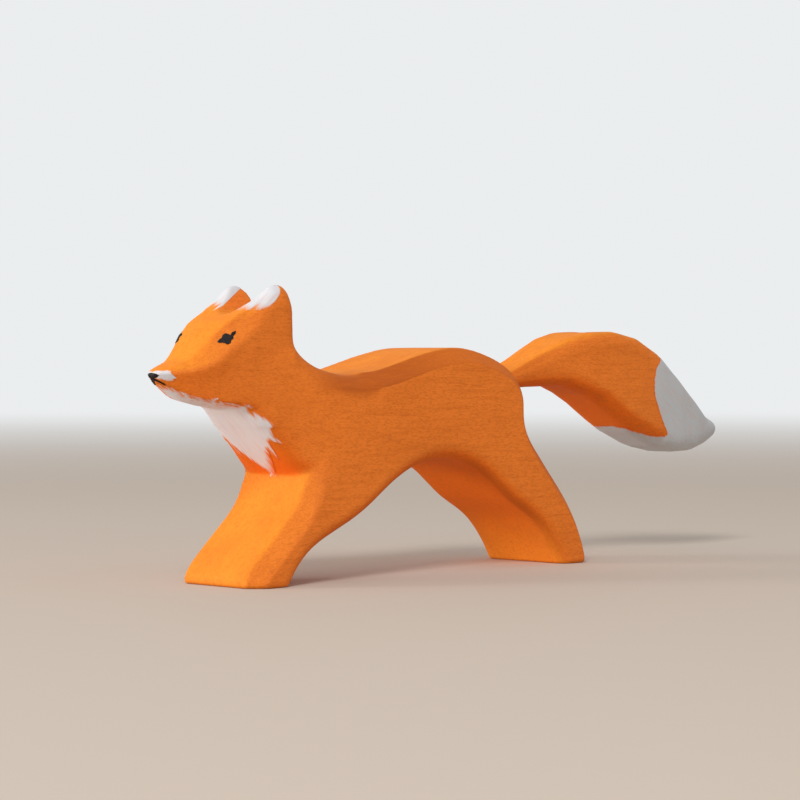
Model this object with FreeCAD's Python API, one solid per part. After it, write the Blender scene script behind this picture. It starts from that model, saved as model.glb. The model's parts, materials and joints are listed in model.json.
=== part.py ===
import FreeCAD, Part

import math
import os

# Running fox carved from one piece of board, with painted marks.
# The nose points to -X, the tail to +X, the board's thickness lies along Y, and the feet stand on Z 0.

# Sizes of the whole figure, in millimetres
body_length = 178.0
body_height = 61.0
board_thickness = 25.0
half_board = board_thickness / 2

# Finish of the wood and of the paint
edge_flat = 3.2
edge_round = 3.0
sole_round = 0.8
paint_thickness = 0.2
overrun = 5.0

# How much is carved off each side of the board at the head, at the neck's root and at the tail
cheek_relief = 2.7
neck_relief = 0.3
tail_relief = 4.2
cheek_half_width = half_board - cheek_relief
neck_half_width = half_board - neck_relief
tail_half_width = half_board - tail_relief

# Rounding of the neck and the tail, and the short flats in each rounded corner
tail_corner_round = 3.6
neck_corner_round = 4.2
corner_flats = 3
corner_height_share = 0.49
corner_width_share = 0.9

# Notch between the ears
notch_depth = 6.2
notch_half_width = 6.0

# How far the marks near the nose reach back along the figure, and the bare wood above the nose
nose_reach = 2.8
mouth_reach = 5.4
bare_half_width = 0.7

# Where the white of the ears begins, below the tips
ear_paint_height = 5.2

# Side outline of the board: shares of body_length along X and of body_height along Z.
# It runs up the front leg, over the back, down the hind leg and back along the belly.
chest_shares = [
    (-0.405, 0.0), (-0.401, 0.04), (-0.384, 0.098), (-0.352, 0.185), (-0.324, 0.272), (-0.3135, 0.34),
    (-0.3035, 0.41), (-0.276, 0.52), (-0.248, 0.63), (-0.225, 0.706),
]
back_shares = [
    (-0.225, 0.706), (-0.195, 0.714), (-0.155, 0.743), (-0.101, 0.779), (-0.056, 0.789), (-0.015, 0.768),
    (0.025, 0.722), (0.046, 0.672), (0.0565, 0.612), (0.0575, 0.55), (0.063, 0.49), (0.083, 0.41),
    (0.11, 0.32), (0.143, 0.205), (0.165, 0.085), (0.1725, 0.0),
]
belly_shares = [
    (0.115, 0.0), (0.095, 0.088), (0.069, 0.164), (0.0235, 0.243), (-0.02, 0.336), (-0.067, 0.392),
    (-0.12, 0.392), (-0.175, 0.328), (-0.228, 0.228), (-0.28, 0.157), (-0.312, 0.106), (-0.332, 0.05),
    (-0.343, 0.0),
]

# Sections of the head, from the nose to the back of the ears. Each row holds the place along X,
# then (half width, height) of the crown, the brow, the ear side, the cheek line, the jaw line and the chin.
# X is a share of body_length, half widths are shares of cheek_half_width, heights of body_height.
head_shares = [
    (-0.495, (0, 0.709), (0.06, 0.708), (0.09, 0.705), (0.12, 0.701), (0.06, 0.692), (0, 0.691)),
    (-0.4915, (0, 0.719), (0.09, 0.718), (0.15, 0.712), (0.22, 0.705), (0.12, 0.683), (0, 0.681)),
    (-0.483, (0, 0.728), (0.2, 0.725), (0.29, 0.718), (0.37, 0.707), (0.19, 0.667), (0, 0.662)),
    (-0.472, (0, 0.737), (0.3, 0.734), (0.4, 0.722), (0.49, 0.708), (0.26, 0.65), (0, 0.643)),
    (-0.459, (0, 0.752), (0.37, 0.747), (0.5, 0.731), (0.61, 0.714), (0.36, 0.632), (0, 0.623)),
    (-0.449, (0, 0.783), (0.42, 0.777), (0.56, 0.75), (0.7, 0.722), (0.42, 0.621), (0, 0.61)),
    (-0.43, (0, 0.844), (0.62, 0.832), (0.73, 0.793), (0.85, 0.749), (0.57, 0.612), (0, 0.597)),
    (-0.413, (0, 0.878), (0.69, 0.872), (0.81, 0.838), (0.92, 0.798), (0.71, 0.605), (0, 0.59)),
    (-0.389, (0, 0.902), (0.65, 0.912), (0.83, 0.885), (0.96, 0.845), (0.86, 0.595), (0, 0.58)),
    (-0.366, (0, 0.935), (0.68, 0.953), (0.87, 0.933), (0.95, 0.9), (0.94, 0.595), (0, 0.58)),
    (-0.352, (0, 0.975), (0.68, 0.989), (0.86, 0.97), (0.94, 0.937), (0.96, 0.595), (0, 0.58)),
    (-0.342, (0, 0.985), (0.69, 1.0), (0.85, 0.985), (0.94, 0.95), (0.97, 0.595), (0, 0.58)),
    (-0.333, (0, 0.98), (0.69, 0.993), (0.84, 0.974), (0.93, 0.935), (0.965, 0.595), (0, 0.58)),
    (-0.326, (0, 0.96), (0.65, 0.972), (0.79, 0.95), (0.89, 0.905), (0.94, 0.595), (0, 0.58)),
    (-0.3205, (0, 0.92), (0.55, 0.927), (0.68, 0.905), (0.78, 0.86), (0.84, 0.595), (0, 0.58)),
]

# Sections of the neck: place along X, half width, and the heights of its underside and of its top.
neck_shares = [
    (-0.4, 0.58, 0.595, 0.72), (-0.385, 0.68, 0.56, 0.76), (-0.366, 0.765, 0.508, 0.8),
    (-0.344, 0.81, 0.444, 0.82), (-0.326, 0.845, 0.397, 0.812), (-0.316, 0.87, 0.372, 0.786),
    (-0.305, 0.905, 0.35, 0.758), (-0.287, 0.96, 0.34, 0.728), (-0.262, 1.0, 0.34, 0.707),
    (-0.24, 1.018, 0.34, 0.7), (-0.21, 1.018, 0.36, 0.69),
]

# Sections of the tail: place along X, half width, and the heights of its underside and of its top.
tail_shares = [
    (0.02, 0.52, 0.6, 0.69), (0.045, 0.54, 0.63, 0.69), (0.069, 0.54, 0.636, 0.705),
    (0.101, 0.6, 0.641, 0.744), (0.135, 0.72, 0.644, 0.786), (0.169, 0.84, 0.643, 0.825),
    (0.202, 0.94, 0.613, 0.845), (0.247, 1.0, 0.54, 0.848), (0.292, 0.99, 0.464, 0.827),
    (0.337, 0.94, 0.41, 0.772), (0.382, 0.86, 0.385, 0.684), (0.427, 0.7, 0.386, 0.595),
    (0.461, 0.51, 0.405, 0.53), (0.486, 0.31, 0.436, 0.5), (0.495, 0.14, 0.46, 0.486),
]

# Half outline of the notch between the ears, from its bottom up: shares of its half width and depth.
notch_shares = [(0, 0), (0.25, 0.05), (0.5, 0.21), (0.67, 0.48), (0.83, 0.77), (1.0, 1.0)]

# Side views of painted marks, as closed outlines: shares of body_length along X and body_height along Z.
tail_tip_shares = [
    (0.327, 0.9), (0.3235, 0.75), (0.315, 0.628), (0.319, 0.58), (0.33, 0.513), (0.346, 0.458),
    (0.318, 0.468), (0.298, 0.469), (0.27, 0.5), (0.255, 0.36), (0.52, 0.36), (0.52, 0.9),
]
eye_shares = [
    (-0.43, 0.81), (-0.425, 0.823), (-0.4215, 0.832), (-0.4165, 0.835), (-0.411, 0.843),
    (-0.41, 0.836), (-0.416, 0.822), (-0.418, 0.806), (-0.4225, 0.8), (-0.427, 0.803),
]
muzzle_shares = [
    (-0.497, 0.708), (-0.4925, 0.716), (-0.4815, 0.716), (-0.482, 0.703), (-0.4765, 0.69),
    (-0.4775, 0.681), (-0.4825, 0.679), (-0.49, 0.688), (-0.497, 0.688),
]
blaze_side_shares = [
    (-0.489, 0.6735), (-0.479, 0.661), (-0.47, 0.648), (-0.456, 0.635), (-0.447, 0.627), (-0.426, 0.624),
    (-0.428, 0.613), (-0.4, 0.606), (-0.377, 0.595), (-0.385, 0.588), (-0.373, 0.56), (-0.3575, 0.527),
    (-0.3615, 0.519), (-0.3525, 0.49), (-0.342, 0.467), (-0.3, 0.4), (-0.3, 0.32), (-0.5, 0.32),
    (-0.5, 0.66),
]

# Half outlines seen from the front: shares of cheek_half_width along Y and of body_height along Z.
nose_shares = [(0, 0.7095), (0.07, 0.708), (0.15, 0.702), (0.08, 0.6925), (0, 0.689)]
mouth_shares = [(0, 0.69), (0.018, 0.69), (0.018, 0.684), (0.2, 0.671), (0.19, 0.666), (0, 0.6775)]
blaze_front_shares = [
    (0, 0.35), (0.25, 0.372), (0.45, 0.42), (0.57, 0.413), (0.6, 0.445), (0.68, 0.48), (0.93, 0.465),
    (0.88, 0.49), (0.95, 0.53), (1.3, 0.56), (1.3, 0.7), (0, 0.7),
]

# Top view of the painted front of the left ear: shares of body_length and of cheek_half_width.
ear_shares = [
    (-0.385, 0.42), (-0.385, 0.96), (-0.3545, 0.93), (-0.345, 0.885), (-0.338, 0.8), (-0.335, 0.67),
    (-0.338, 0.5), (-0.35, 0.3), (-0.368, 0.3),
]


def point(x_share, y, z_share):
    return FreeCAD.Vector(x_share * body_length, y, z_share * body_height)


def curve(shares, y):
    spline = Part.BSplineCurve()
    spline.interpolate([point(x_share, y, z_share) for x_share, z_share in shares])
    return spline.toShape()


def spans(edge, direction):
    """Whether an edge has any length to speak of along a direction."""
    return getattr(edge.BoundBox, direction + "Length") > paint_thickness


def long_edges(sawn):
    return [edge for edge in sawn.Edges if spans(edge, "Z") and not spans(edge, "Y")]


def under_arch(edge):
    """The outline of the arch between the legs stays in the lower half; the other two rise above it."""
    return edge.BoundBox.ZMax < body_height / 2


def board():
    """The sawn board: trunk and both leg blocks, with flats carved on its outer edges and the arch's edges rounded."""
    y = -half_board
    front_foot = Part.makeLine(point(belly_shares[-1][0], y, 0), point(chest_shares[0][0], y, 0))
    hind_foot = Part.makeLine(point(back_shares[-1][0], y, 0), point(belly_shares[0][0], y, 0))
    edges = [curve(chest_shares, y), curve(back_shares, y), hind_foot, curve(belly_shares, y), front_foot]
    sawn = Part.Face(Part.Wire(edges)).extrude(FreeCAD.Vector(0, board_thickness, 0))
    flattened = sawn.makeChamfer(edge_flat, [edge for edge in long_edges(sawn) if not under_arch(edge)])
    carved = flattened.makeFillet(edge_round, [edge for edge in long_edges(flattened) if under_arch(edge)])
    sole_edges = [edge for edge in carved.Edges if edge.BoundBox.ZMax < paint_thickness]
    return carved.makeFillet(sole_round, sole_edges)


def closed_wire(x, outline):
    corners = [FreeCAD.Vector(x, y, z) for y, z in outline]
    return Part.makePolygon(corners + corners[:1])


def outward(outline, distance):
    """Moves each corner of a closed outline outwards, so that its sides move by the distance."""
    moved = []
    count = len(outline)
    for index, (y, z) in enumerate(outline):
        before = outline[index - 1]
        after = outline[(index + 1) % count]
        first = FreeCAD.Vector(0, y - before[0], z - before[1]).normalize()
        second = FreeCAD.Vector(0, after[0] - y, after[1] - z).normalize()
        normal_sum = FreeCAD.Vector(0, first.z + second.z, -first.y - second.y)
        scale = 2 * distance / normal_sum.Length ** 2
        moved.append((y + normal_sum.y * scale, z + normal_sum.z * scale))
    return moved


def rounded_outline(half_width, low, high, corner):
    """A rounded rectangle about the centre plane, with each corner in short flats."""
    radius = min(corner, corner_height_share * (high - low), corner_width_share * half_width)
    outline = []
    for side_y, side_z, start in ((1, 1, 0), (-1, 1, 90), (-1, -1, 180), (1, -1, 270)):
        centre_y = side_y * (half_width - radius)
        centre_z = high - radius if side_z > 0 else low + radius
        for step in range(corner_flats + 1):
            angle = math.radians(start + 90 * step / corner_flats)
            outline.append((centre_y + radius * math.cos(angle), centre_z + radius * math.sin(angle)))
    return outline


def head(grow=0):
    wires = []
    last = len(head_shares) - 1
    for index, (x_share, *half) in enumerate(head_shares):
        right = [(y_share * cheek_half_width, z_share * body_height) for y_share, z_share in half]
        left = [(-y, z) for y, z in right[1:-1]]
        outline = right[::-1] + left
        if grow:
            outline = outward(outline, grow)
        x = x_share * body_length
        if index == 0:
            x -= grow
        if index == last:
            x += grow
        wires.append(closed_wire(x, outline))
    return Part.makeLoft(wires, True, True)


def section_loft(shares, widest, corner, grow):
    wires = []
    last = len(shares) - 1
    for index, (x_share, width_share, low_share, high_share) in enumerate(shares):
        half_width = width_share * widest + grow
        low = low_share * body_height - grow
        high = high_share * body_height + grow
        x = x_share * body_length
        if index == 0:
            x -= grow
        if index == last:
            x += grow
        wires.append(closed_wire(x, rounded_outline(half_width, low, high, corner + grow)))
    return Part.makeLoft(wires, True, True)


def neck(grow=0):
    return section_loft(neck_shares, neck_half_width, neck_corner_round, grow)


def tail(grow=0):
    return section_loft(tail_shares, tail_half_width, tail_corner_round, grow)


def ear_notch():
    """A rounded V between the ears, along the head and open to the back."""
    x = -body_length / 2
    right = []
    for y_share, z_share in notch_shares:
        right.append((y_share * notch_half_width, body_height + (z_share - 1) * notch_depth))
    right.append((right[-1][0], body_height + overrun))
    left = [(-y, z) for y, z in right[:0:-1]]
    return Part.Face(closed_wire(x, right + left)).extrude(FreeCAD.Vector(-x, 0, 0))


def notched_head(grow=0):
    return head(grow).cut(ear_notch())


def side_region(shares, from_y, to_y):
    """What lies inside a closed outline in the side view, between two places across the board."""
    corners = [point(x_share, from_y, z_share) for x_share, z_share in shares]
    face = Part.Face(Part.makePolygon(corners + corners[:1]))
    return face.extrude(FreeCAD.Vector(0, to_y - from_y, 0))


def front_region(half_shares, reach):
    """What lies inside an outline in the front view, from before the nose to a reach behind its tip."""
    right = [(y_share * cheek_half_width, z_share * body_height) for y_share, z_share in half_shares]
    left = [(-y, z) for y, z in right[-2:0:-1]]
    face = Part.Face(closed_wire(head_shares[0][0] * body_length - overrun, right + left))
    return face.extrude(FreeCAD.Vector(overrun + reach, 0, 0))


def ear_region(side):
    corners = []
    for x_share, y_share in ear_shares:
        corners.append(FreeCAD.Vector(x_share * body_length, side * y_share * cheek_half_width, 0))
    face = Part.Face(Part.makePolygon(corners + corners[:1]))
    face.translate(FreeCAD.Vector(0, 0, body_height - ear_paint_height))
    return face.extrude(FreeCAD.Vector(0, 0, ear_paint_height + overrun))


def film(coated, region, wood):
    """A coat of paint on pieces of wood: the coated form, a paint thickness larger, inside the region."""
    coat = coated.common(region)
    for piece in wood:
        coat = coat.cut(piece)
    return coat


def save(name, shape):
    print(name, "solids", len(shape.Solids), "valid", shape.isValid(), "volume", round(shape.Volume, 3))
    shape.exportStep("parts/" + name + ".step")


os.makedirs("parts", exist_ok=True)
sawn_board = board()
carved_head = notched_head()
carved_neck = neck()
carved_tail = tail()
save("carved_body", sawn_board.fuse([carved_head, carved_neck, carved_tail]).removeSplitter())

coated_head = notched_head(paint_thickness)
nose = film(coated_head, front_region(nose_shares, nose_reach), [carved_head])
save("nose_paint", nose)
mouth = film(coated_head, front_region(mouth_shares, mouth_reach), [carved_head, nose])
save("mouth_line", mouth)
muzzle_sides = []
for name, side in (("left", -1), ("right", 1)):
    save(name + "_eye_paint", film(coated_head, side_region(eye_shares, 0, side * half_board), [carved_head]))
    save(name + "_ear_paint", film(coated_head, ear_region(side), [carved_head]))
    muzzle_sides.append(side_region(muzzle_shares, side * bare_half_width, side * half_board))
save("muzzle_paint", film(coated_head, Part.makeCompound(muzzle_sides), [carved_head, nose, mouth]))

neck_reach = (neck_shares[-1][0] - head_shares[0][0]) * body_length
blaze_region = side_region(blaze_side_shares, -half_board, half_board)
blaze_region = blaze_region.common(front_region(blaze_front_shares, neck_reach))
coated_throat = coated_head.fuse(neck(paint_thickness))
save("throat_blaze", film(coated_throat, blaze_region, [carved_head, carved_neck, sawn_board, mouth]))

tail_region = side_region(tail_tip_shares, -half_board, half_board)
save("tail_tip_paint", film(tail(paint_thickness), tail_region, [carved_tail]))
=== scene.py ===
import json
import math
import bmesh
import bpy
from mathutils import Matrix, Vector, geometry, noise

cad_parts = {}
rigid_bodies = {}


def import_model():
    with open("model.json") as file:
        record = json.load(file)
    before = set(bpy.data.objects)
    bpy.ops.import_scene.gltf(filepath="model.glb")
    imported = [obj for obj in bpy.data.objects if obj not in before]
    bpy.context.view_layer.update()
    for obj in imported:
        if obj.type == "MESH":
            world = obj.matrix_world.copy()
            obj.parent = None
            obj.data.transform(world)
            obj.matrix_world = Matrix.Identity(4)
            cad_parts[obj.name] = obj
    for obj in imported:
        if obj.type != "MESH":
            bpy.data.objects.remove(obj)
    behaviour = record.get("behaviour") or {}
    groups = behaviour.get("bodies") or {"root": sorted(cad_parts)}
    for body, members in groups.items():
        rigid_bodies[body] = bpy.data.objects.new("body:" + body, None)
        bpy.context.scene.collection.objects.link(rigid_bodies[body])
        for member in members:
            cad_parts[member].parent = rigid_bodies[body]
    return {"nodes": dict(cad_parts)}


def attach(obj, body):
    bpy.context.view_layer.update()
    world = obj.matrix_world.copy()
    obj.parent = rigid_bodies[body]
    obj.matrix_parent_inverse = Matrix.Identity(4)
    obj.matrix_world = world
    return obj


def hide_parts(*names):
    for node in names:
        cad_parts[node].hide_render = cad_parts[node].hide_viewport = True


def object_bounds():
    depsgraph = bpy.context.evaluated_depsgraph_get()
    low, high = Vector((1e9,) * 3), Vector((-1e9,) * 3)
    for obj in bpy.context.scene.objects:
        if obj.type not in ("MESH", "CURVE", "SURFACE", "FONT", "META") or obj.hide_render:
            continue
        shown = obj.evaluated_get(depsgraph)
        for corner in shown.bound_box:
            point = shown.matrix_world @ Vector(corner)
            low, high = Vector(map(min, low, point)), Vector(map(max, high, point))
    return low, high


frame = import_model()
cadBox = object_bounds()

# A running fox, carved and sanded by hand from one board, stained orange and painted.
# Nose towards -X, tail towards +X, its left side towards -Y.
# Blender works in metres. The fox's sizes and places below are in mm, the studio's in metres.
mm = 0.001
rootBody = "root"


def linkPiece(name, mesh):
    piece = bpy.data.objects.new(name, mesh)
    bpy.context.scene.collection.objects.link(piece)
    return piece


def applyModifiers(piece):
    depsgraph = bpy.context.evaluated_depsgraph_get()
    finished = bpy.data.meshes.new_from_object(piece.evaluated_get(depsgraph))
    finished.name = piece.name
    piece.modifiers.clear()
    piece.data = finished


def inBox(point, low, high):
    return all(low[axis] * mm <= point[axis] <= high[axis] * mm for axis in range(3))


def share(value):
    return min(max(value, 0), 1)


carving = {
    "mergeGap": 0.002,
    "voxel": 0.5,
    "smoothing": 0.5,
    "softRounds": 1,         # takes the sharpness off every edge
    "margin": 1,
    "slimHalf": 7,           # nearer the middle than this, a flat goes less deep
    "deepestCut": 0.5,       # the most that a flat takes, as a share of the way to the middle
    "unevenness": 0.16,      # how deep the knife and the sandpaper went, at most
    "unevenSize": 11,
    "rippleDepth": 0.05,
    "rippleSize": 3.5,
    "soleHeight": 0.4,       # below this the soles stay flat
    "wearGain": 2600,        # how soon a bent edge counts as rubbed
}

# Where more was sanded away, and whether only sideways, so that the outline stays
sandedParts = {
    "cheekIntoNeck": {"low": (-72, -20, 28), "high": (-60, 20, 40), "rounds": 60, "sideways": True},
    "neckIntoFlank": {"low": (-63, -20, 25), "high": (-36, 20, 46), "rounds": 130,
                      "sideways": True},
    "chestIntoLeg": {"low": (-76, -20, 20.5), "high": (-46, 20, 32), "rounds": 22},
    "neck": {"low": (-62, -20, 29), "high": (-38, 20, 56), "rounds": 8},
    "nape": {"low": (-58, -20, 40), "high": (-39, 20, 55), "rounds": 60},
    "head": {"low": (-84, -20, 30), "high": (-52, 20, 70), "rounds": 1},
    "tail": {"low": (6, -20, 20), "high": (90, 20, 60), "rounds": 4},
}

# Lines where two flats of the knife meet (X, Z, seen from the side). Above or below the line the
# skin leans inward over the reach, and past the end it stays as it was. The brow's flat fades out
# towards the ears.
knifeLines = {
    "brow": {"above": True, "lean": 0.22, "reach": 4, "end": 20, "fadeLow": 51.5, "fadeHigh": 56,
             "line": [(-90, 42.5), (-86, 42.9), (-83.5, 43.5), (-80, 43.9), (-76.8, 45.4),
                      (-73.7, 47.8), (-71.1, 49.8), (-67.8, 51.8), (-64.5, 53.4), (-58, 55)]},
    "tailLow": {"above": False, "lean": 0.35, "reach": 7, "end": 12,
                "line": [(19.6, 40.4), (28.3, 38.4), (40.9, 38.3), (47.9, 33.5), (61.8, 28)]},
}

# The tail's two upper edges stayed fuller than the rest of it
tailCorners = {"start": 9, "easeIn": 8, "end": 66, "easeOut": 20, "lowest": 34, "fullness": 0.7}


def heightOnLine(line, x):
    for (startX, startZ), (endX, endZ) in zip(line, line[1:]):
        if startX <= x <= endX:
            return startZ + (endZ - startZ) * (x - startX) / (endX - startX)
    return None


def carveToLine(shape, cut):
    for vert in shape.verts:
        x, z = vert.co.x / mm, vert.co.z / mm
        height = heightOnLine(cut["line"], x)
        if height is None:
            continue
        past = z - height if cut["above"] else height - z
        if past > cut["end"]:
            continue
        inward = cut["lean"] * min(max(past, 0), cut["reach"]) * mm
        if "fadeHigh" in cut:
            inward *= share((cut["fadeHigh"] - z) / (cut["fadeHigh"] - cut["fadeLow"]))
        halfWidth = max(abs(vert.co.y), carving["slimHalf"] * mm)
        vert.co.y -= vert.co.y * min(inward / halfWidth, carving["deepestCut"])


def squareTail(shape):
    shape.normal_update()
    for vert in shape.verts:
        x = vert.co.x / mm
        outward = vert.normal
        if vert.co.z < tailCorners["lowest"] * mm or outward.z < 0:
            continue
        start = share((x - tailCorners["start"]) / tailCorners["easeIn"])
        end = share((tailCorners["end"] - x) / tailCorners["easeOut"])
        corner = 2 * abs(outward.y) * outward.z      # 1 where the skin faces halfway up
        vert.co += outward * corner * start * end * tailCorners["fullness"] * mm


def sandPart(shape, low, high, rounds, sideways=False):
    verts = [vert for vert in shape.verts if inBox(vert.co, low, high)]
    for _ in range(rounds):
        bmesh.ops.smooth_vert(shape, verts=verts, factor=carving["smoothing"],
                              use_axis_x=not sideways, use_axis_y=True, use_axis_z=not sideways)


def wave(place, size):
    return 0.5 + 0.5 * noise.noise(place / (size * mm))


def carveUnevenly(shape):
    shape.normal_update()
    for vert in shape.verts:
        if vert.co.z < carving["soleHeight"] * mm:
            continue
        depth = wave(vert.co, carving["unevenSize"]) * carving["unevenness"]
        depth += wave(vert.co, carving["rippleSize"]) * carving["rippleDepth"]
        vert.co -= vert.normal * depth * mm


def markWear(shape):
    wearLayer = shape.verts.layers.float.new("wear")
    shape.normal_update()
    bend = {}
    for vert in shape.verts:
        around = [edge.other_vert(vert) for edge in vert.link_edges]
        centre = sum((other.co for other in around), Vector()) / len(around)
        bulge = (vert.co - centre).dot(vert.normal)
        bend[vert.index] = bulge * carving["wearGain"] / carving["voxel"]
    for vert in shape.verts:
        around = [bend[edge.other_vert(vert).index] for edge in vert.link_edges]
        vert[wearLayer] = (bend[vert.index] + sum(around)) / (1 + len(around))


def carveBody():
    fox = linkPiece("carvedFox", frame["nodes"]["carved_body"].data.copy())
    shape = bmesh.new()
    shape.from_mesh(fox.data)
    bmesh.ops.remove_doubles(shape, verts=shape.verts, dist=carving["mergeGap"] * mm)
    shape.to_mesh(fox.data)
    shape.free()
    remesh = fox.modifiers.new("evenSkin", "REMESH")
    remesh.mode = "VOXEL"
    remesh.voxel_size = carving["voxel"] * mm
    applyModifiers(fox)
    shape = bmesh.new()
    shape.from_mesh(fox.data)
    for cut in knifeLines.values():
        carveToLine(shape, cut)
    squareTail(shape)
    sandPart(shape, foxLow, foxHigh, carving["softRounds"])
    for part in sandedParts.values():
        sandPart(shape, **part)
    carveUnevenly(shape)
    markWear(shape)
    shape.to_mesh(fox.data)
    shape.free()
    fox.data.shade_smooth()
    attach(fox, rootBody)
    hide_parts("carved_body")
    return fox


foxLow = [corner / mm - carving["margin"] for corner in cadBox[0]]
foxHigh = [corner / mm + carving["margin"] for corner in cadBox[1]]
carvedFox = carveBody()
print("carved body:", len(carvedFox.data.polygons), "faces")


# Each outline is drawn on the fox's middle plane (X, Z), as the camera sees it from this point.
# The camera stands before the fox's left shoulder, at -Y, and a mark on the right side is drawn
# from the point's mirror image. A mark runs from the middle plane out to the skin.
eyePoint = {"x": -430.3, "y": 411.4, "z": 47.6}

paint = {
    "reach": 0.075,          # how far the outline is drawn out towards the eye point
    "below": 0.08,           # how deep the coat's underside lies in the wood
    "patchMargin": 2,
    "patchReach": 18,
    "flatGap": 0.0001,       # what lies nearer the middle plane counts as on it
    "mirrorGap": 0.001,
    "fadeWidth": 0.7,        # how far inside its outline the paint gets thin
    "sunkEdge": 0.12,        # where a coat fades out downwards, it runs this deep into the wood
    "sinkStart": 0.4,        # all of it this far below the fade's low end
    "sinkHeight": 1.2,
    "sharpAngle": 40,
}

# The ear's cuts (a point and the way out) keep the white off the wall of the notch between the ears
marks = {
    "leftEyeBlack": {
        "node": "left_eye_paint", "look": "blackPaint", "sides": (-1,), "lift": 0.12,
        "outline": [(-70.9, 49.2), (-70.4, 49.7), (-69.7, 50.1), (-69.5, 50.6), (-68.7, 51.0),
                    (-67.8, 50.8), (-67.4, 50.6), (-66.9, 51.2), (-65.9, 51.5), (-65.9, 51.0),
                    (-66.6, 50.4), (-66.5, 50.0), (-67.1, 49.6), (-67.3, 49.0), (-68.2, 48.7),
                    (-68.9, 49.0), (-69.6, 49.1), (-70.3, 49.0)],
    },
    "leftEarWhite": {
        "node": "left_ear_paint", "look": "whiteEarPaint", "sides": (-1,), "lift": 0.07,
        "fadeLow": 55.5, "fadeHigh": 58.3,
        "cuts": [((-62.6, 4.5, 58.7), (0.58, -0.4, -0.82)), ((0, 3.1, 0), (0, -1, 0))],
        "outline": [(-68.5, 54.7), (-67.5, 57.0), (-62.5, 61.0), (-57.0, 63.5), (-54.9, 61.6),
                    (-53.9, 60.7), (-53.5, 59.9), (-53.6, 59.1), (-54.4, 58.2), (-55.3, 57.4),
                    (-56.4, 56.6), (-57.6, 55.6), (-58.2, 54.7)],
    },
    "noseBlack": {
        "node": "nose_paint", "look": "blackPaint", "sides": (-1, 1), "lift": 0.14,
        "outline": [(-92, 43.1), (-87.9, 43.1), (-86.9, 42.9), (-86.1, 42.6), (-86.6, 42.2),
                    (-87.3, 42.0), (-87.9, 41.9), (-92, 41.9)],
    },
    "mouthBlack": {
        "node": "mouth_line", "look": "blackPaint", "sides": (-1, 1), "lift": 0.13,
        "outline": [(-92, 42.1), (-87.6, 42.1), (-86.9, 41.75), (-85.7, 41.3), (-84.4, 40.75),
                    (-84.5, 40.55), (-85.8, 41.0), (-86.9, 41.4), (-87.3, 41.45), (-87.1, 41.0),
                    (-87.0, 40.7), (-92, 40.7)],
    },
    "muzzleWhite": {
        "node": "muzzle_paint", "look": "whiteMuzzlePaint", "sides": (-1, 1), "lift": 0.08,
        "outline": [(-92, 43.5), (-88.2, 43.4), (-86.6, 43.7), (-84.8, 43.7), (-83.0, 43.6),
                    (-82.7, 42.9), (-81.6, 42.0), (-82.3, 41.7), (-82.1, 41.4), (-83.8, 41.3),
                    (-85.3, 41.6), (-86.6, 41.9), (-87.9, 42.0), (-92, 41.7)],
    },
    "throatWhite": {
        "node": "throat_blaze", "look": "whiteThroatPaint", "sides": (-1, 1), "lift": 0.08,
        "fadeWidth": 2.0,
        "outline": [(-95, 41.4), (-88.4, 41.4), (-87.3, 41.3), (-85.9, 40.8), (-83.6, 40.3),
                    (-81.2, 39.5), (-77.8, 38.6), (-75.7, 38.1), (-73.4, 37.9), (-70.4, 37.9),
                    (-71.1, 37.4), (-67.8, 36.9), (-64.2, 36.7), (-59.3, 36.0), (-62.3, 35.4),
                    (-60.0, 34.8), (-56.2, 32.9), (-55.0, 31.9), (-56.5, 31.4), (-55.5, 29.8),
                    (-52.3, 28.0), (-54.9, 28.6), (-57.0, 28.9), (-56.2, 27.6), (-54.0, 24.9),
                    (-56.3, 26.3), (-57.2, 27.3), (-55.9, 24.5), (-54.6, 21.3), (-58.0, 23.1),
                    (-60.7, 24.4), (-62.1, 24.2), (-64.1, 25.8), (-66.5, 27.9), (-66.8, 26.6),
                    (-69.5, 29.0), (-74.2, 31.6), (-95, 36.8)],
    },
    "tailTipWhite": {
        "node": "tail_tip_paint", "look": "shadedWhiteTailPaint", "sides": (-1, 1), "lift": 0.08,
        "outline": [(66.6, 58), (68.5, 45.0), (66.9, 42.9), (66.2, 40.5), (66.6, 36.9),
                    (68.0, 33.4), (70.3, 29.2), (71.2, 27.4), (69.4, 27.2), (64.8, 27.3),
                    (60.2, 28.2), (55.6, 29.4), (51.1, 29.9), (47.6, 29.9), (44.0, 29.5),
                    (39.0, 28.3), (37, 17), (118, 15), (118, 58)],
    },
}

# The right eye was painted further forward than the left one
rightMarks = {
    "rightEyeBlack": {"like": "leftEyeBlack", "shift": -3.7},
    "rightEarWhite": {"like": "leftEarWhite", "shift": 0},
}


def eyeAt(side):
    return Vector((eyePoint["x"], side * eyePoint["y"], eyePoint["z"])) * mm


def sightPrism(name, mark):
    sides = mark["sides"]
    shape = bmesh.new()
    for x, z in mark["outline"]:
        shape.verts.new((x * mm, 0, z * mm))
    shape.faces.new(shape.verts[:])
    grown = bmesh.ops.extrude_face_region(shape, geom=shape.faces[:])
    for vert in [item for item in grown["geom"] if isinstance(item, bmesh.types.BMVert)]:
        vert.co = vert.co.lerp(eyeAt(sides[0]), paint["reach"])
    if len(sides) == 2:
        flat = paint["flatGap"] * mm
        middle = [face for face in shape.faces if all(abs(vert.co.y) < flat for vert in face.verts)]
        bmesh.ops.delete(shape, geom=middle, context="FACES_ONLY")
        whole = shape.verts[:] + shape.edges[:] + shape.faces[:]
        bmesh.ops.mirror(shape, geom=whole, axis="Y", merge_dist=paint["mirrorGap"] * mm)
    bmesh.ops.recalc_face_normals(shape, faces=shape.faces)
    mesh = bpy.data.meshes.new(name)
    shape.to_mesh(mesh)
    shape.free()
    return linkPiece(name, mesh)


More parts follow.
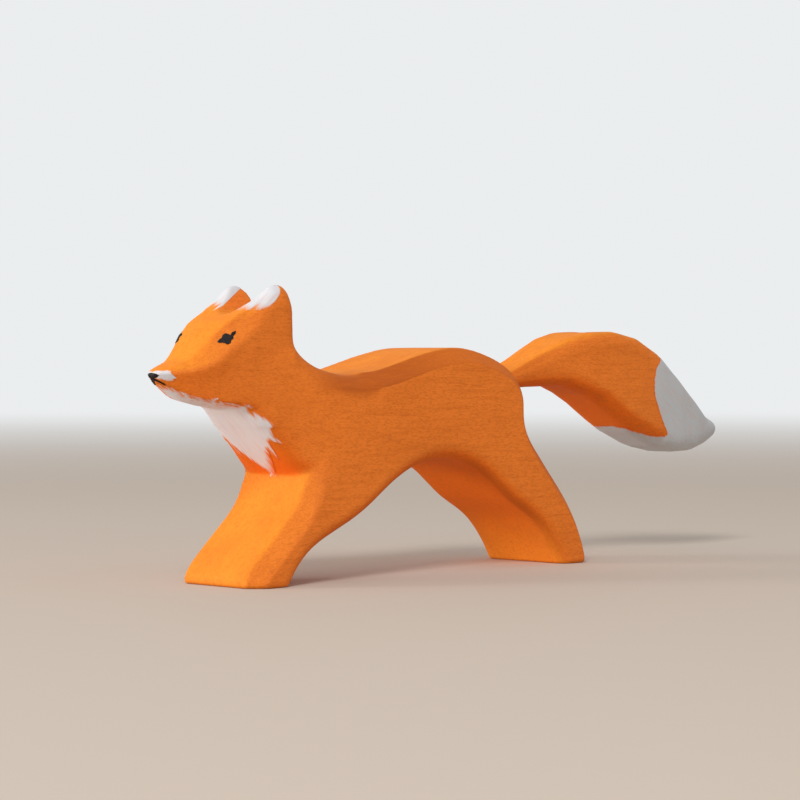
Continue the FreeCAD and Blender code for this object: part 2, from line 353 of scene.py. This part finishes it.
def skinPatch(name, mark):
    margin = paint["patchMargin"]
    width = paint["patchReach"]
    side = mark["sides"][0]
    xs = [x for x, z in mark["outline"]]
    zs = [z for x, z in mark["outline"]]
    low = (min(xs) - width, -width, min(zs) - margin)
    high = (max(xs) + margin, width, max(zs) + margin)
    patch = linkPiece(name, carvedFox.data.copy())
    shape = bmesh.new()
    shape.from_mesh(patch.data)
    far = [vert for vert in shape.verts if not inBox(vert.co, low, high)]
    if len(mark["sides"]) == 1:
        far += [vert for vert in shape.verts if vert.co.y * side < 0]
    bmesh.ops.delete(shape, geom=list(set(far)), context="VERTS")
    for (x, y, z), (outX, outY, outZ) in mark.get("cuts", []):
        whole = shape.verts[:] + shape.edges[:] + shape.faces[:]
        bmesh.ops.bisect_plane(shape, geom=whole, plane_co=(x * mm, side * y * mm, z * mm),
                               plane_no=(outX, side * outY, outZ), clear_outer=True)
    shape.to_mesh(patch.data)
    shape.free()
    coat = patch.modifiers.new("coat", "SOLIDIFY")
    coat.thickness = (mark["lift"] + paint["below"]) * mm
    coat.offset = (mark["lift"] - paint["below"]) / (mark["lift"] + paint["below"])
    return patch


def gapToOutline(spot, corners):
    gaps = []
    for start, end in zip(corners[-1:] + corners, corners):
        _, part = geometry.intersect_point_line(spot, start, end)
        gaps.append((spot - start.lerp(end, share(part))).length)
    return min(gaps)


def markCover(mesh, mark):
    corners = [Vector((x * mm, z * mm)) for x, z in mark["outline"]]
    fadeWidth = mark.get("fadeWidth", paint["fadeWidth"]) * mm
    cover = mesh.attributes.new("cover", "FLOAT", "POINT")
    for vert in mesh.vertices:
        eye = eyeAt(math.copysign(1, vert.co.y))
        onPlane = vert.co.lerp(eye, vert.co.y / (vert.co.y - eye.y))
        thick = min(gapToOutline(onPlane.xz, corners) / fadeWidth, 1)
        if "fadeLow" in mark:
            height = (vert.co.z / mm - mark["fadeLow"]) / (mark["fadeHigh"] - mark["fadeLow"])
            thick = min(max(height, 0), thick)
        cover.data[vert.index].value = thick


def sinkFadedEdge(mesh, mark):
    for vert in mesh.vertices:
        height = (vert.co.z / mm - mark["fadeLow"] + paint["sinkStart"]) / paint["sinkHeight"]
        if height < 1:
            _, _, outward, _ = carvedFox.closest_point_on_mesh(vert.co)
            vert.co -= outward * paint["sunkEdge"] * (1 - max(height, 0)) * mm


def paintMark(name, mark):
    piece = skinPatch(name, mark)
    prism = sightPrism(name + "Edge", mark)
    trim = piece.modifiers.new("brushEdge", "BOOLEAN")
    trim.operation = "INTERSECT"
    trim.solver = "EXACT"
    trim.object = prism
    applyModifiers(piece)
    bpy.data.objects.remove(prism)
    markCover(piece.data, mark)
    if "fadeLow" in mark:
        sinkFadedEdge(piece.data, mark)
    piece.data.shade_smooth()
    piece.data.set_sharp_from_angle(angle=math.radians(paint["sharpAngle"]))
    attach(piece, rootBody)
    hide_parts(mark["node"])
    print(name + ":", len(piece.data.polygons), "faces")
    return piece


for name, settings in rightMarks.items():
    mirrored = dict(marks[settings["like"]])
    mirrored["node"] = mirrored["node"].replace("left", "right")
    mirrored["sides"] = (1,)
    mirrored["outline"] = [(x + settings["shift"], z) for x, z in mirrored["outline"]]
    marks[name] = mirrored

paintedPieces = {name: paintMark(name, mark) for name, mark in marks.items()}


def feedNode(tree, node, socket, value):
    byNumber = socket.startswith("in") and socket[2:].isdigit()
    target = node.inputs[int(socket[2:])] if byNumber else node.inputs[socket]
    if isinstance(value, bpy.types.NodeSocket):
        tree.links.new(value, target)
    else:
        target.default_value = value


def addNode(tree, kind, settings=None, **inputs):
    node = tree.nodes.new(kind)
    for key, value in (settings or {}).items():
        setattr(node, key, value)
    for key, value in inputs.items():
        feedNode(tree, node, key.replace("_", " "), value)
    return node


def mathNode(tree, operation, first, second=0, third=0, clamp=False):
    node = addNode(tree, "ShaderNodeMath", {"operation": operation, "use_clamp": clamp},
                   in0=first, in1=second, in2=third)
    return node.outputs[0]


def product(tree, first, *others):
    result = first
    for factor in others:
        result = mathNode(tree, "MULTIPLY", result, factor)
    return result


def ramp(tree, value, low, high, most=1):
    node = addNode(tree, "ShaderNodeMapRange", {"interpolation_type": "SMOOTHSTEP"},
                   Value=value, From_Min=low, From_Max=high, To_Max=most)
    return node.outputs[0]


def placeRamp(tree, place, low, high, most=1):
    return ramp(tree, place, low * mm, high * mm, most)


def mixColor(tree, factor, first, second):
    node = addNode(tree, "ShaderNodeMix", {"data_type": "RGBA"}, in0=factor, in6=first, in7=second)
    return node.outputs[2]


def noiseAt(tree, place, scale, length=1, turn=0, detail=3, roughness=0.55):
    mapped = addNode(tree, "ShaderNodeMapping", {"vector_type": "TEXTURE"}, Vector=place,
                     Scale=(length, 1, 1), Rotation=(0, turn, 0))
    node = addNode(tree, "ShaderNodeTexNoise", Vector=mapped.outputs[0], Scale=scale, Detail=detail,
                   Roughness=roughness)
    return node.outputs[0]


finishes = {
    "wood": {"bump": 0.6, "roughness": 0.7, "shine": 0.14},
    "white": {"bump": 0.4, "roughness": 0.68, "shine": 0.18},
    "black": {"bump": 0.25, "roughness": 0.5, "shine": 0.15},
}
bumpHeight = 0.12


def newMaterial(name):
    material = bpy.data.materials.new(name)
    material.use_nodes = True
    return material, material.node_tree, material.node_tree.nodes["Principled BSDF"]


def finishShader(tree, shader, color, relief, finish):
    feedNode(tree, shader, "Base Color", color)
    bump = addNode(tree, "ShaderNodeBump", Height=relief, Strength=finish["bump"],
                   Distance=bumpHeight * mm)
    feedNode(tree, shader, "Normal", bump.outputs[0])
    feedNode(tree, shader, "Roughness", finish["roughness"])
    feedNode(tree, shader, "Specular IOR Level", finish["shine"])


woodColors = {
    # Painted light and shade: a lit copy of the stain for fronts and tops, a shaded one for the
    # sides
    "bright": (0.88, 0.27, 0.022, 1),
    "side": (0.88, 0.225, 0.027, 1),
    # Painted shade on faces that look down
    "under": (0.87, 0.165, 0.008, 1),
    "deep": (0.66, 0.15, 0.014, 1),
    # The pores' dark tone, also used as painted shade in the dip and on the arch
    "speckAndShade": (0.42, 0.085, 0.01, 1),
    "worn": (0.93, 0.36, 0.05, 1),
}

# Where each tone lies: the stain's own grain and rubbed edges, painted light and shade by facing,
# painted shade on faces that look down, in the dip behind the neck and on the edge of the arch, and
# a darker tone on the slanted flat along the back. A range is where its share grows from none to
# all, or to the third value, and backwards where the second value is the lower one. A facing of 1
# is square to that way.
stainAndShade = {
    "paintedSideShadeFacing": (0.5, 0.85),
    "underFacing": (0.03, 0.6, 0.95),
    "underAboveFeet": (-1, 16),
    "paleHead": (-58, -66, 0.55),          # under the head it stays paler
    "backStart": (-52, -42),               # the carved edge of the back
    "backEnd": (30, 18),
    "backFacing": (0.35, 0.55, 0.8),
    "backRising": (0.1, 0.5),
    "dipStart": (-58, -46),                # the dip behind the neck
    "dipEnd": (-8, -34),
    "dipFacing": (0.12, 0.4, 0.85),
    "dipRising": (0.04, 0.3),
    "archTop": (27, 21),                   # the rounded edge of the arch between the legs
    "archFoot": (-1, 12),
    "archInner": (0.03, 0.3, 0.38),
    "archOuter": (0.92, 0.6),
    "archFalling": (0.02, 0.25),
    "mottle": (0.42, 0.72, 0.35),
    "fibre": (0.42, 0.7, 0.45),
    "pores": (0.4, 0.72),
    "poresOnSide": (0.2, 0.8, 0.24),
    "poresAllOver": 0.1,
    "worn": (0.15, 0.9, 0.35),
}

grain = {
    "mottle": {"scale": 70, "length": 2.5},
    "fibre": {"scale": 1500, "length": 14, "detail": 4, "roughness": 0.65},
    "pores": {"scale": 3600, "length": 3.2, "detail": 2, "roughness": 0.6},
    "fibreRelief": 0.7,
    "poreRelief": 0.6,
}


def woodLook(tree):
    place = addNode(tree, "ShaderNodeTexCoord")
    spot = place.outputs["Object"]
    facing = addNode(tree, "ShaderNodeSeparateXYZ", Vector=place.outputs["Normal"])
    sideways = mathNode(tree, "ABSOLUTE", facing.outputs[1])
    upwards = facing.outputs[2]
    downwards = mathNode(tree, "MULTIPLY", upwards, -1)
    position = addNode(tree, "ShaderNodeSeparateXYZ", Vector=spot)
    along, height = position.outputs[0], position.outputs[2]

    # Painted shade: faces that look down turn a deeper red, less so near the feet and under the
    # head
    inShade = product(tree, placeRamp(tree, height, *stainAndShade["underAboveFeet"]),
                      mathNode(tree, "SUBTRACT", 1, placeRamp(tree, along, *stainAndShade["paleHead"])),
                      ramp(tree, downwards, *stainAndShade["underFacing"]))
    # Darker on the slanted flat along the back
    onBack = product(tree, placeRamp(tree, along, *stainAndShade["backStart"]),
                     placeRamp(tree, along, *stainAndShade["backEnd"]),
                     ramp(tree, sideways, *stainAndShade["backFacing"]),
                     ramp(tree, upwards, *stainAndShade["backRising"]))
    # Painted shade in the hollow behind the neck, where less light reaches, with stain gathered
    # there too
    dipShadeAndStain = product(tree, placeRamp(tree, along, *stainAndShade["dipStart"]),
                    placeRamp(tree, along, *stainAndShade["dipEnd"]),
                    ramp(tree, sideways, *stainAndShade["dipFacing"]),
                    ramp(tree, upwards, *stainAndShade["dipRising"]))
    # Painted shade on the rounded edge of the arch, where flank, belly and hind leg meet
    paintedArchShade = product(tree, placeRamp(tree, height, *stainAndShade["archTop"]),
                     placeRamp(tree, height, *stainAndShade["archFoot"]),
                     ramp(tree, sideways, *stainAndShade["archInner"]),
                     ramp(tree, sideways, *stainAndShade["archOuter"]),
                     ramp(tree, downwards, *stainAndShade["archFalling"]))
    # Painted light and shade: faces that look sideways take the stain's shaded copy
    onSide = ramp(tree, sideways, *stainAndShade["paintedSideShadeFacing"])
    tone = mixColor(tree, onSide, woodColors["bright"], woodColors["side"])
    tone = mixColor(tree, inShade, tone, woodColors["under"])
    tone = mixColor(tree, onBack, tone, woodColors["deep"])
    tone = mixColor(tree, dipShadeAndStain, tone, woodColors["speckAndShade"])
    tone = mixColor(tree, paintedArchShade, tone, woodColors["speckAndShade"])

    mottle = noiseAt(tree, spot, **grain["mottle"])
    fibre = noiseAt(tree, spot, **grain["fibre"])
    pores = noiseAt(tree, spot, **grain["pores"])
    onSidePores = ramp(tree, sideways, *stainAndShade["poresOnSide"])
    poreDepth = mathNode(tree, "ADD", onSidePores, stainAndShade["poresAllOver"])
    tone = mixColor(tree, ramp(tree, mottle, *stainAndShade["mottle"]), tone, woodColors["deep"])
    tone = mixColor(tree, ramp(tree, fibre, *stainAndShade["fibre"]), tone, woodColors["deep"])
    specks = product(tree, ramp(tree, pores, *stainAndShade["pores"]), poreDepth)
    tone = mixColor(tree, specks, tone, woodColors["speckAndShade"])
    relief = mathNode(tree, "ADD", product(tree, fibre, grain["fibreRelief"]),
                      product(tree, pores, grain["poreRelief"]))
    return spot, tone, relief


def stainedWood():
    material, tree, shader = newMaterial("stainedWood")
    _, tone, relief = woodLook(tree)
    wear = addNode(tree, "ShaderNodeAttribute", {"attribute_name": "wear"})
    worn = ramp(tree, wear.outputs["Fac"], *stainAndShade["worn"])
    tone = mixColor(tree, worn, tone, woodColors["worn"])
    finishShader(tree, shader, tone, relief, finishes["wood"])
    return material


# How far each white paint's strokes turn from the fox's length, in radians, and its colour
# One white paint in lit and shaded copies: painted shade darkens the ears, muzzle and tail tip,
# the tail tip's the most and greyer, and painted light brightens the throat.
whitePaints = {
    "whiteEarPaint": {"turn": -0.64, "color": (0.66, 0.67, 0.71, 1)},
    "whiteMuzzlePaint": {"turn": 0.1, "color": (0.66, 0.67, 0.71, 1)},
    "whiteThroatPaint": {"turn": 0.8, "color": (0.74, 0.73, 0.77, 1)},
    "shadedWhiteTailPaint": {"turn": 0.6, "color": (0.54, 0.565, 0.59, 1)},
}

whiteCoat = {
    "strokes": {"scale": 1300, "length": 12, "detail": 4, "roughness": 0.6},
    "weave": {"scale": 300, "length": 3, "detail": 2},
    "hairs": {"scale": 2400, "length": 18, "detail": 2},
    "weaveShare": 0.5,
    "coverShare": 0.6,
    "hides": (0.72, 1.08),
    "bareStreaks": (0.5, 0.75, 0.22),
    "woodShare": 0.5,                      # how much of the wood's relief shows in the paint
}

blackCoat = {
    "full": (0.006, 0.004, 0.005, 1),
    "thin": (0.035, 0.018, 0.012, 1),
    "daubs": {"scale": 1400},
    "thinSpots": (0.45, 0.85),
}


def whitePaint(name, turn, color):
    material, tree, shader = newMaterial(name)
    spot, tone, relief = woodLook(tree)
    strokes = noiseAt(tree, spot, turn=turn, **whiteCoat["strokes"])
    weave = noiseAt(tree, spot, turn=turn, **whiteCoat["weave"])
    hairs = noiseAt(tree, spot, turn=turn, **whiteCoat["hairs"])
    cover = addNode(tree, "ShaderNodeAttribute", {"attribute_name": "cover"})
    ridges = mathNode(tree, "MULTIPLY_ADD", weave, whiteCoat["weaveShare"], strokes)
    thick = mathNode(tree, "MULTIPLY_ADD", cover.outputs["Fac"], whiteCoat["coverShare"], ridges)
    hides = mathNode(tree, "SUBTRACT", ramp(tree, thick, *whiteCoat["hides"]),
                     ramp(tree, hairs, *whiteCoat["bareStreaks"]), clamp=True)
    relief = mathNode(tree, "MULTIPLY_ADD", relief, whiteCoat["woodShare"], strokes)
    finishShader(tree, shader, mixColor(tree, hides, tone, color), relief, finishes["white"])
    return material


def blackPaint():
    material, tree, shader = newMaterial("blackPaint")
    place = addNode(tree, "ShaderNodeTexCoord")
    daubs = noiseAt(tree, place.outputs["Object"], **blackCoat["daubs"])
    thin = ramp(tree, daubs, *blackCoat["thinSpots"])
    color = mixColor(tree, thin, blackCoat["full"], blackCoat["thin"])
    finishShader(tree, shader, color, daubs, finishes["black"])
    return material


paintLooks = {name: whitePaint(name, **settings) for name, settings in whitePaints.items()}
paintLooks["blackPaint"] = blackPaint()
carvedFox.data.materials.clear()
carvedFox.data.materials.append(stainedWood())
for name, piece in paintedPieces.items():
    piece.data.materials.clear()
    piece.data.materials.append(paintLooks[marks[name]["look"]])
print("materials: stained wood, white paint, black paint")


studio = {
    "floorRadius": 3.0,
    "floorSides": 96,
    "floorColor": (0.58, 0.50, 0.43, 1),
    "floorRoughness": 0.8,
    "floorShine": 0.2,
    "backColor": (0.83, 0.85, 0.86, 1),
    "blendStart": 0.30,      # from here to blendEnd the floor runs into the back colour
    "blendEnd": 1.6,
    "skyColor": (1.0, 0.985, 0.97, 1),
    "skyLight": 0.52,
}

lamps = {
    "windowLight": {"place": (-1.1, -0.7, 1.05), "size": 0.5, "power": 14.6,
                    "color": (1.0, 0.98, 0.95)},
    "roomLight": {"place": (-1.15, 0.85, 0.22), "size": 0.45, "power": 11,
                  "color": (1.0, 0.96, 0.92)},
}
lampAim = Vector((0, 0, 0.03))

view = {"focal": 121.9, "sensor": 36, "pitchDown": 1.06, "yaw": -45, "nearest": 0.01,
        "farthest": 20}


def seenDirectly(tree):
    rays = addNode(tree, "ShaderNodeLightPath")
    seen = mathNode(tree, "ADD", rays.outputs["Is Camera Ray"], rays.outputs["Is Glossy Ray"],
                    clamp=True)
    return mathNode(tree, "ADD", seen, rays.outputs["Is Transmission Ray"], clamp=True)


def makeFloor():
    shape = bmesh.new()
    bmesh.ops.create_circle(shape, cap_ends=True, segments=studio["floorSides"],
                            radius=studio["floorRadius"])
    mesh = bpy.data.meshes.new("tableTop")
    shape.to_mesh(mesh)
    shape.free()
    floor = linkPiece("tableTop", mesh)
    material, tree, shader = newMaterial("paleFloor")
    feedNode(tree, shader, "Base Color", studio["floorColor"])
    feedNode(tree, shader, "Roughness", studio["floorRoughness"])
    feedNode(tree, shader, "Specular IOR Level", studio["floorShine"])
    place = addNode(tree, "ShaderNodeTexCoord")
    distance = addNode(tree, "ShaderNodeVectorMath", {"operation": "LENGTH"},
                       in0=place.outputs["Object"])
    fade = ramp(tree, distance.outputs["Value"], studio["blendStart"], studio["blendEnd"])
    glow = addNode(tree, "ShaderNodeEmission", Color=studio["backColor"], Strength=1.0)
    mixed = addNode(tree, "ShaderNodeMixShader", in0=product(tree, fade, seenDirectly(tree)),
                    in1=shader.outputs[0], in2=glow.outputs[0])
    feedNode(tree, tree.nodes["Material Output"], "Surface", mixed.outputs[0])
    floor.data.materials.append(material)


def makeSky():
    world = bpy.data.worlds.new("studioSky")
    bpy.context.scene.world = world
    world.use_nodes = True
    tree = world.node_tree
    light = tree.nodes["Background"]
    feedNode(tree, light, "Color", studio["skyColor"])
    feedNode(tree, light, "Strength", studio["skyLight"])
    back = addNode(tree, "ShaderNodeBackground", Color=studio["backColor"], Strength=1.0)
    mixed = addNode(tree, "ShaderNodeMixShader", in0=seenDirectly(tree), in1=light.outputs[0],
                    in2=back.outputs[0])
    feedNode(tree, tree.nodes["World Output"], "Surface", mixed.outputs[0])


def makeLamp(name, settings):
    lamp = bpy.data.lights.new(name, "AREA")
    lamp.shape = "DISK"
    lamp.size = settings["size"]
    lamp.energy = settings["power"]
    lamp.color = settings["color"]
    holder = bpy.data.objects.new(name, lamp)
    holder.location = settings["place"]
    holder.rotation_euler = (lampAim - holder.location).to_track_quat("-Z", "Y").to_euler()
    bpy.context.scene.collection.objects.link(holder)


def makeCamera():
    lens = bpy.data.cameras.new("portraitLens")
    lens.lens = view["focal"]
    lens.sensor_width = view["sensor"]
    lens.clip_start = view["nearest"]
    lens.clip_end = view["farthest"]
    camera = bpy.data.objects.new("portraitLens", lens)
    camera.location = eyeAt(-1)
    camera.rotation_euler = (math.radians(90 - view["pitchDown"]), 0, math.radians(view["yaw"]))
    bpy.context.scene.collection.objects.link(camera)
    bpy.context.scene.camera = camera


makeFloor()
makeSky()
for name, settings in lamps.items():
    makeLamp(name, settings)
makeCamera()
bpy.context.scene.view_settings.view_transform = "Standard"
print("floor, light and camera: done")
